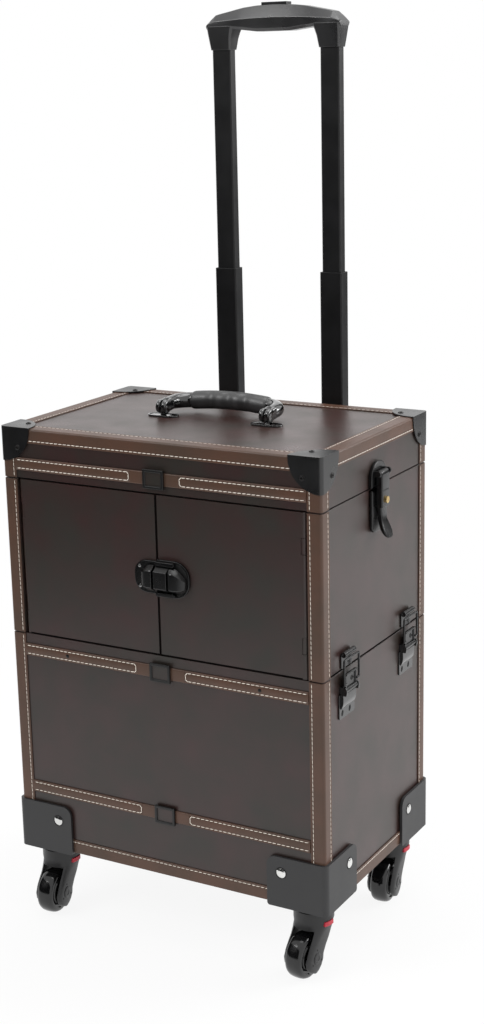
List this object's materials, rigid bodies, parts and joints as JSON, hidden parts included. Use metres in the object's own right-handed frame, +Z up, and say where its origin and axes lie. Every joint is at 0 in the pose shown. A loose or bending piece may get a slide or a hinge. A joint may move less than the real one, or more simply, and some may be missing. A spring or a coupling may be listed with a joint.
{
  "type": "rolling makeup case",
  "caption": "Dark brown leather covered rolling makeup case with lid, double doors, stacking lower bin, telescopic trolley and swivel casters.",
  "frame": {"origin": "on the floor under the middle of the whole outline", "axes": "+Z up, the front with the doors toward -Y, the side with the lid latch toward +X"},
  "size_m": [0.3939, 0.3008, 0.9646],
  "materials": {
    "leather": "fine grained dark brown imitation leather, soft sheen",
    "lining_board": "dark paper lined board",
    "brown_leather": "smooth brown imitation leather with pale stitching",
    "black_metal": "black coated steel, satin",
    "black_plastic": "fine textured black moulding",
    "gloss_black": "polished black moulding",
    "rubber_black": "matt soft grip",
    "wheel_black": "smooth black wheel",
    "tube_black": "black coated aluminium tube",
    "bolt_steel": "bright plated bolt head",
    "lock_brass": "turned brass",
    "red_plastic": "red moulded tab"
  },
  "bodies": {
    "lower_case": {"lower_front_panel": "leather", "lower_back_panel": "leather", "lower_side_panels": "leather", "lower_floor": "lining_board", "lower_trim": "brown_leather", "lower_straps": "brown_leather", "lower_strap_loops": "black_metal", "wheel_brackets": "black_plastic", "bracket_bolts": "bolt_steel", "draw_latch_bases": "black_metal", "trolley_outer_tubes": "tube_black", "trolley_mounts": "black_plastic"},
    "upper_case": {"upper_back_panel": "leather", "upper_side_panels": "leather", "upper_front_posts": "leather", "upper_floor": "lining_board", "upper_trim": "brown_leather", "door_hinges": "black_metal", "draw_latch_hooks": "black_metal", "lid_latch_base": "black_metal", "lid_hinge_case_leaf": "black_metal"},
    "lid": {"lid_top_panel": "leather", "lid_boards": "leather", "lid_trim": "brown_leather", "lid_strap": "brown_leather", "lid_strap_loop": "black_metal", "lid_corner_caps": "black_plastic", "cap_rivets": "black_metal", "lid_latch_plate": "black_metal", "handle_posts": "gloss_black", "lid_hinge_lid_leaf": "black_metal"},
    "carry_handle": {"handle_arms": "gloss_black", "handle_grip": "rubber_black"},
    "left_door": {"left_door": "leather", "door_latch_strike": "black_metal"},
    "right_door": {"right_door": "leather", "door_latch_base": "black_metal"},
    "door_lever": {"door_latch_lever": "black_metal"},
    "lid_lever": {"lid_latch_lever": "black_metal"},
    "lock": {"lock_plug": "lock_brass"},
    "trolley_middle": {"trolley_middle_tubes": "tube_black"},
    "trolley_inner": {"trolley_inner_tubes": "tube_black", "trolley_grip": "black_plastic"},
    "trolley_release": {"trolley_button": "black_plastic"},
    "draw_front_left": {"draw_lever_front_left": "black_metal"},
    "draw_front_right": {"draw_lever_front_right": "black_metal"},
    "draw_back_left": {"draw_lever_back_left": "black_metal"},
    "draw_back_right": {"draw_lever_back_right": "black_metal"},
    "caster_front_left": {"fork_front_left": "black_plastic"},
    "roller_front_left": {"wheel_front_left": "wheel_black"},
    "release_front_left": {"tab_front_left": "red_plastic"},
    "caster_front_right": {"fork_front_right": "black_plastic"},
    "roller_front_right": {"wheel_front_right": "wheel_black"},
    "release_front_right": {"tab_front_right": "red_plastic"},
    "caster_back_left": {"fork_back_left": "black_plastic"},
    "roller_back_left": {"wheel_back_left": "wheel_black"},
    "release_back_left": {"tab_back_left": "red_plastic"},
    "caster_back_right": {"fork_back_right": "black_plastic"},
    "roller_back_right": {"wheel_back_right": "wheel_black"},
    "release_back_right": {"tab_back_right": "red_plastic"}
  },
  "joints": [
    {"name": "upper_case_lift", "type": "slide", "parent": "lower_case", "child": "upper_case", "axis": [0, 0, 1], "range_m": [0, 0.25]},
    {"name": "lid_hinge", "type": "hinge", "parent": "upper_case", "child": "lid", "pos_m": [-0.19165, -0.01264, 0.4919], "axis": [0, -1, 0], "range_deg": [0, 100]},
    {"name": "carry_handle_fold", "type": "hinge", "parent": "lid", "child": "carry_handle", "pos_m": [-0.00425, -0.01464, 0.5542], "axis": [1, 0, 0], "range_deg": [0, 150]},
    {"name": "left_door_hinge", "type": "hinge", "parent": "upper_case", "child": "left_door", "pos_m": [-0.16725, -0.12844, 0.407], "axis": [0, 0, -1], "range_deg": [0, 95]},
    {"name": "right_door_hinge", "type": "hinge", "parent": "upper_case", "child": "right_door", "pos_m": [0.15875, -0.12844, 0.407], "axis": [0, 0, 1], "range_deg": [0, 95]},
    {"name": "door_lever_pivot", "type": "hinge", "parent": "right_door", "child": "door_lever", "pos_m": [0.00105, -0.14084, 0.4066], "axis": [0, 0, -1], "range_deg": [0, 80]},
    {"name": "lid_lever_pivot", "type": "hinge", "parent": "lid", "child": "lid_lever", "pos_m": [0.18895, -0.01264, 0.5072], "axis": [0, -1, 0], "range_deg": [0, 110]},
    {"name": "lock_turn", "type": "hinge", "parent": "lid_lever", "child": "lock", "pos_m": [0.18895, -0.01264, 0.4797], "axis": [1, 0, 0], "range_deg": [0, 90]},
    {"name": "draw_pivot_front_left", "type": "hinge", "parent": "lower_case", "child": "draw_front_left", "pos_m": [-0.19295, -0.08364, 0.304], "axis": [0, -1, 0], "range_deg": [0, 100]},
    {"name": "draw_pivot_front_right", "type": "hinge", "parent": "lower_case", "child": "draw_front_right", "pos_m": [0.18445, -0.08364, 0.304], "axis": [0, 1, 0], "range_deg": [0, 100]},
    {"name": "draw_pivot_back_left", "type": "hinge", "parent": "lower_case", "child": "draw_back_left", "pos_m": [-0.19295, 0.05836, 0.304], "axis": [0, -1, 0], "range_deg": [0, 100]},
    {"name": "draw_pivot_back_right", "type": "hinge", "parent": "lower_case", "child": "draw_back_right", "pos_m": [0.18445, 0.05836, 0.304], "axis": [0, 1, 0], "range_deg": [0, 100]},
    {"name": "middle_slide", "type": "slide", "parent": "lower_case", "child": "trolley_middle", "axis": [0, 0, 1], "range_m": [-0.145, 0]},
    {"name": "inner_slide", "type": "slide", "parent": "trolley_middle", "child": "trolley_inner", "axis": [0, 0, 1], "range_m": [-0.228, 0]},
    {"name": "release_press", "type": "slide", "parent": "trolley_inner", "child": "trolley_release", "axis": [0, 0, -1], "range_m": [0, 0.0022], "stiffness_N_per_m": 600, "springref_m": -0.0005},
    {"name": "swivel_front_left", "type": "hinge", "parent": "lower_case", "child": "caster_front_left", "pos_m": [-0.16125, -0.10614, 0.06], "axis": [0, 0, 1], "continuous": true},
    {"name": "spin_front_left", "type": "hinge", "parent": "caster_front_left", "child": "roller_front_left", "pos_m": [-0.15951, -0.12606, 0.024], "axis": [0.9962, 0.0872, 0], "continuous": true},
    {"name": "tab_press_front_left", "type": "slide", "parent": "caster_front_left", "child": "release_front_left", "axis": [-0.9962, 0.0872, 0], "range_m": [0, 0.0018], "stiffness_N_per_m": 500, "springref_m": -0.0005},
    {"name": "swivel_front_right", "type": "hinge", "parent": "lower_case", "child": "caster_front_right", "pos_m": [0.15275, -0.10614, 0.06], "axis": [0, 0, 1], "continuous": true},
    {"name": "spin_front_right", "type": "hinge", "parent": "caster_front_right", "child": "roller_front_right", "pos_m": [0.15101, -0.12606, 0.024], "axis": [0.9962, -0.0872, 0], "continuous": true},
    {"name": "tab_press_front_right", "type": "slide", "parent": "caster_front_right", "child": "release_front_right", "axis": [-0.9659, 0.2588, 0], "range_m": [0, 0.0018], "stiffness_N_per_m": 500, "springref_m": -0.0005},
    {"name": "swivel_back_left", "type": "hinge", "parent": "lower_case", "child": "caster_back_left", "pos_m": [-0.16125, 0.08086, 0.06], "axis": [0, 0, 1], "continuous": true},
    {"name": "spin_back_left", "type": "hinge", "parent": "caster_back_left", "child": "roller_back_left", "pos_m": [-0.16299, 0.06094, 0.024], "axis": [0.9962, -0.0872, 0], "continuous": true},
    {"name": "tab_press_back_left", "type": "slide", "parent": "caster_back_left", "child": "release_back_left", "axis": [-0.9659, 0.2588, 0], "range_m": [0, 0.0018], "stiffness_N_per_m": 500, "springref_m": -0.0005},
    {"name": "swivel_back_right", "type": "hinge", "parent": "lower_case", "child": "caster_back_right", "pos_m": [0.15275, 0.08086, 0.06], "axis": [0, 0, 1], "continuous": true},
    {"name": "spin_back_right", "type": "hinge", "parent": "caster_back_right", "child": "roller_back_right", "pos_m": [0.15449, 0.06094, 0.024], "axis": [0.9962, 0.0872, 0], "continuous": true},
    {"name": "tab_press_back_right", "type": "slide", "parent": "caster_back_right", "child": "release_back_right", "axis": [-0.9962, 0.0872, 0], "range_m": [0, 0.0018], "stiffness_N_per_m": 500, "springref_m": -0.0005}
  ]
}
